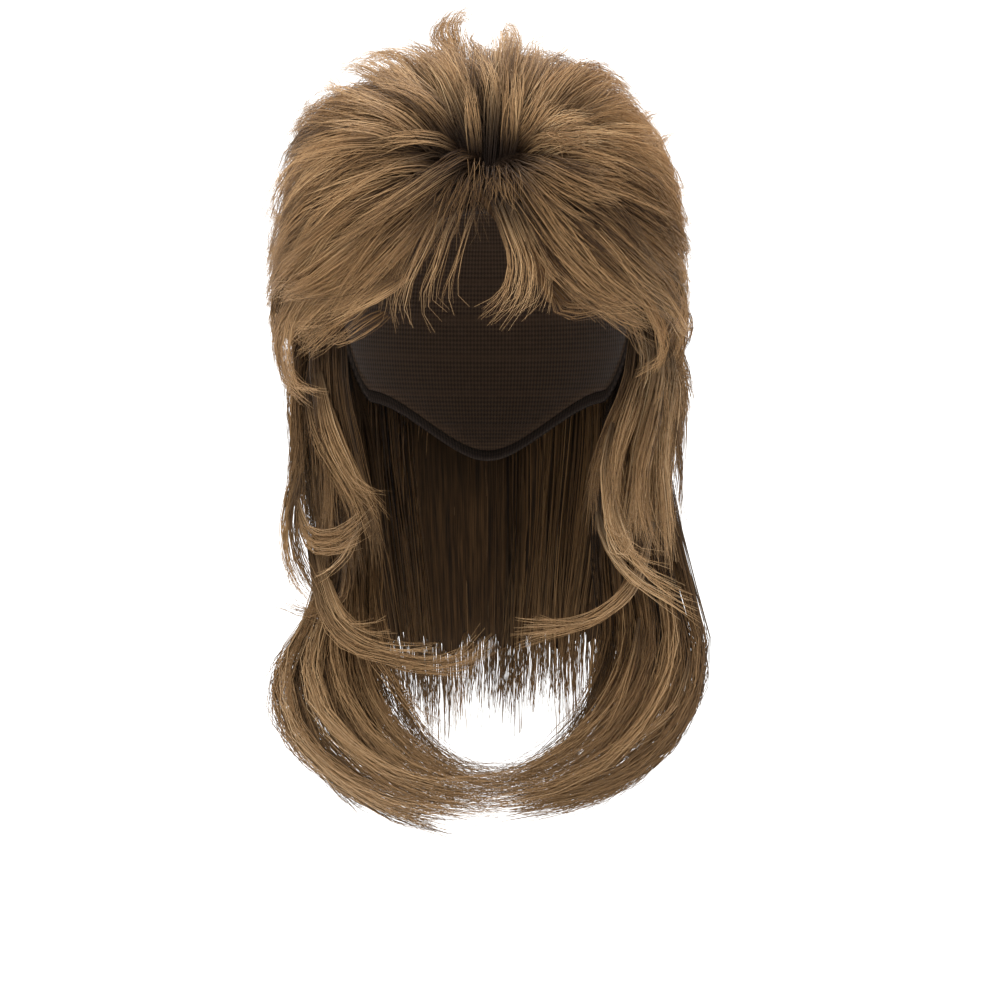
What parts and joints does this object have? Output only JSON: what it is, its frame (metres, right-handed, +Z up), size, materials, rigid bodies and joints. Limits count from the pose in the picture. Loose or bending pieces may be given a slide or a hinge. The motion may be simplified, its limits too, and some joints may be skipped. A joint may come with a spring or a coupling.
{
  "type": "mullet wig",
  "caption": "Layered mullet wig with a brushed-up crown, thin fringe, side locks, two long front tails and back hair on a net cap.",
  "frame": {"origin": "where the crown of the wearer's head touches the inside of the cap's top", "axes": "+Z up through the crown, -Y out through the face opening, +X to the right of a viewer who looks at the face"},
  "size_m": [0.2168, 0.2358, 0.3943],
  "materials": {
    "hair": "fine synthetic fibre with a soft sheen along the strands",
    "long_hair": "fine synthetic fibre with a soft sheen, a little darker and cooler",
    "cap_net": "matt elastic net",
    "hem": "matt elastic band"
  },
  "bodies": {
    "root": {"cap_crown": "cap_net", "cap_front": "cap_net", "cap_right": "cap_net", "cap_nape": "cap_net", "cap_left": "cap_net", "hem_front": "hem", "hem_right": "hem", "hem_nape": "hem", "hem_left": "hem", "crown_hair": "hair", "left_wing_hair": "hair", "right_wing_hair": "hair", "fringe": "hair", "left_side_locks": "hair", "right_side_locks": "hair", "left_tail": "long_hair", "right_tail": "long_hair", "nape_hair": "long_hair"}
  },
  "joints": []
}
